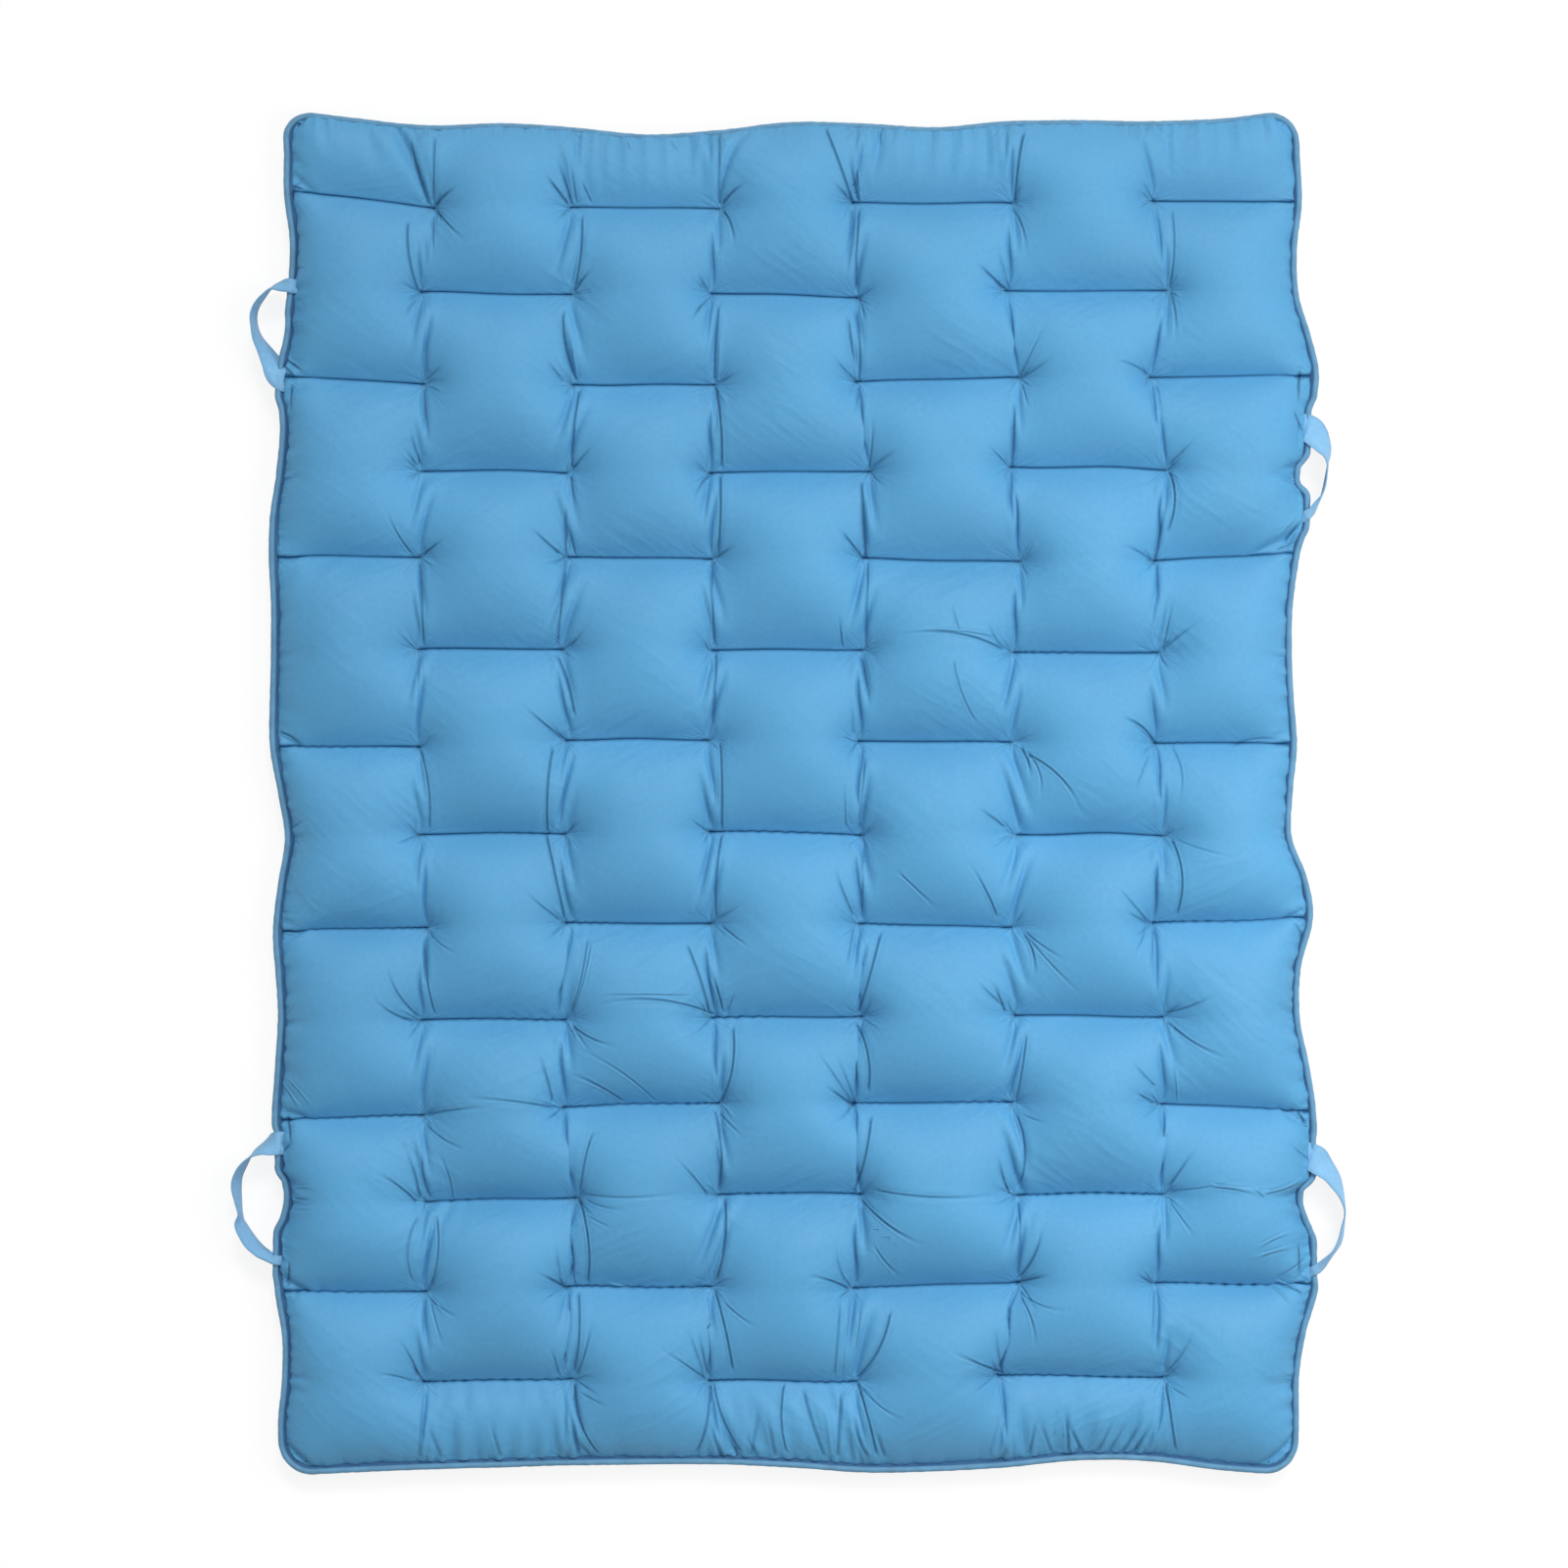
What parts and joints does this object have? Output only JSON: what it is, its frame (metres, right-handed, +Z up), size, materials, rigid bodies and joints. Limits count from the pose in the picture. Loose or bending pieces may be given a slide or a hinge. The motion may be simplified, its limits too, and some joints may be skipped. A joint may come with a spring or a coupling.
{
  "type": "patient transfer pad",
  "caption": "Blue quilted rectangular pad for moving a person in bed, with corded piping round its edge and webbing grab loops sewn into its long sides.",
  "frame": {"origin": "on the surface that the pad lies on, under the middle of the pad", "axes": "+X across the pad, +Y along it towards the rear end, +Z up from its underside to its top cover"},
  "size_m": [1.0015, 1.221, 0.0582],
  "materials": {
    "quilt_cover": "smooth satin microfibre, blue",
    "under_cover": "smooth microfibre, blue",
    "fibre_fill": "loose white fibre",
    "edge_piping": "woven blue piping over a cord",
    "webbing": "light blue woven webbing"
  },
  "bodies": {
    "pad": {"top_cover": "quilt_cover", "bottom_cover": "under_cover", "fibre_fill": "fibre_fill", "edge_piping": "edge_piping", "strap_end_left_rear_upper": "webbing", "strap_end_left_rear_lower": "webbing", "strap_end_left_front_upper": "webbing", "strap_end_left_front_lower": "webbing", "strap_end_right_rear_upper": "webbing", "strap_end_right_rear_lower": "webbing", "strap_end_right_front_upper": "webbing", "strap_end_right_front_lower": "webbing"},
    "left_rear_loop": {"handle_left_rear": "webbing"},
    "left_front_loop": {"handle_left_front": "webbing"},
    "right_rear_loop": {"handle_right_rear": "webbing"},
    "right_front_loop": {"handle_right_front": "webbing"}
  },
  "joints": [
    {"name": "left_rear_loop_swing", "type": "hinge", "parent": "pad", "child": "left_rear_loop", "pos_m": [-0.45245, 0.40612, 0.0202], "axis": [0.1106, 0.9939, 0], "range_deg": [-90, 90]},
    {"name": "left_front_loop_swing", "type": "hinge", "parent": "pad", "child": "left_front_loop", "pos_m": [-0.45965, -0.36405, 0.0202], "axis": [0.0192, 0.9998, 0], "range_deg": [-90, 90]},
    {"name": "right_rear_loop_swing", "type": "hinge", "parent": "pad", "child": "right_rear_loop", "pos_m": [0.4646, 0.28315, 0.0202], "axis": [-0.0126, -0.9999, 0], "range_deg": [-90, 90]},
    {"name": "right_front_loop_swing", "type": "hinge", "parent": "pad", "child": "right_front_loop", "pos_m": [0.47, -0.37497, 0.0202], "axis": [0.0095, -1, 0], "range_deg": [-90, 90]}
  ]
}
